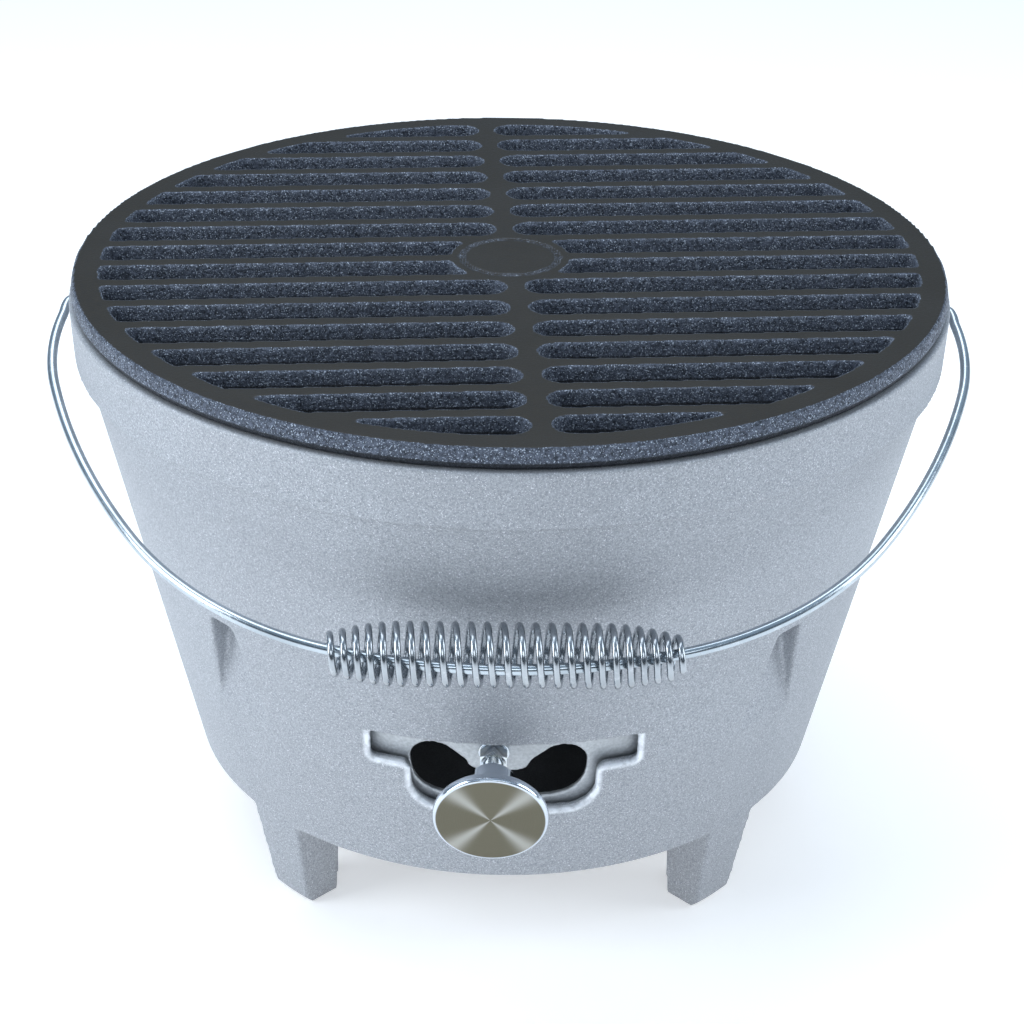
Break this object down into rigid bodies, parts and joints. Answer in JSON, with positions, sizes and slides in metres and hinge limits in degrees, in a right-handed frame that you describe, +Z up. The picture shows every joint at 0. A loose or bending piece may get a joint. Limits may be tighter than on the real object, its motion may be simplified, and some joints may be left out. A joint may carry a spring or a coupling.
{
  "type": "portable tabletop grill",
  "caption": "Round cast bowl grill on cast legs with a slotted iron cooking grate, sliding front air damper with knob, and a wire bail with a coil grip.",
  "frame": {"origin": "middle of the footprint of the whole grill with its bail at rest, on the table plane; the bowl's axis is 7.6 mm behind it", "axes": "+Z up, -Y towards the front with the damper knob, +X to the right seen from the front"},
  "size_m": [0.3584, 0.3593, 0.246],
  "materials": {
    "cast_body": "sand-cast, fine sparkling grain, satin",
    "grate_iron": "seasoned cast iron with ground bar tops",
    "coal_iron": "raw cast iron, matt",
    "damper_sheet": "cast, satin",
    "fastener_zinc": "bright zinc plate",
    "turned_steel": "turned, concentric brushing, polished rim",
    "bail_steel": "drawn wire, zinc plated",
    "coil_steel": "bright spring wire"
  },
  "bodies": {
    "bowl": {"body": "cast_body"},
    "top_grate": {"cooking_grate": "grate_iron"},
    "coal_grate": {"charcoal_grate": "coal_iron"},
    "damper": {"damper_plate": "damper_sheet", "damper_bolt": "fastener_zinc", "damper_washer": "fastener_zinc", "damper_nut": "fastener_zinc", "damper_knob": "turned_steel"},
    "bail": {"bail_wire": "bail_steel"},
    "grip": {"coil_grip": "coil_steel"}
  },
  "joints": [
    {"name": "bail_swing", "type": "hinge", "parent": "bowl", "child": "bail", "pos_m": [0, 0.0076, 0.226], "axis": [-1, 0, 0], "range_deg": [-10, 225.5]},
    {"name": "grip_spin", "type": "hinge", "parent": "bail", "child": "grip", "pos_m": [0, -0.16816, 0.16957], "axis": [1, 0, 0], "continuous": true},
    {"name": "damper_slide", "type": "hinge", "parent": "bowl", "child": "damper", "pos_m": [0, 0.0076, 0.1], "axis": [0, 0, 1], "range_deg": [-15.3, 15.3]},
    {"name": "top_grate_lift", "type": "slide", "parent": "bowl", "child": "top_grate", "axis": [0, 0, 1], "range_m": [0, 0.025]},
    {"name": "coal_grate_lift", "type": "slide", "parent": "bowl", "child": "coal_grate", "axis": [0, 0, 1], "range_m": [0, 0.05]}
  ]
}
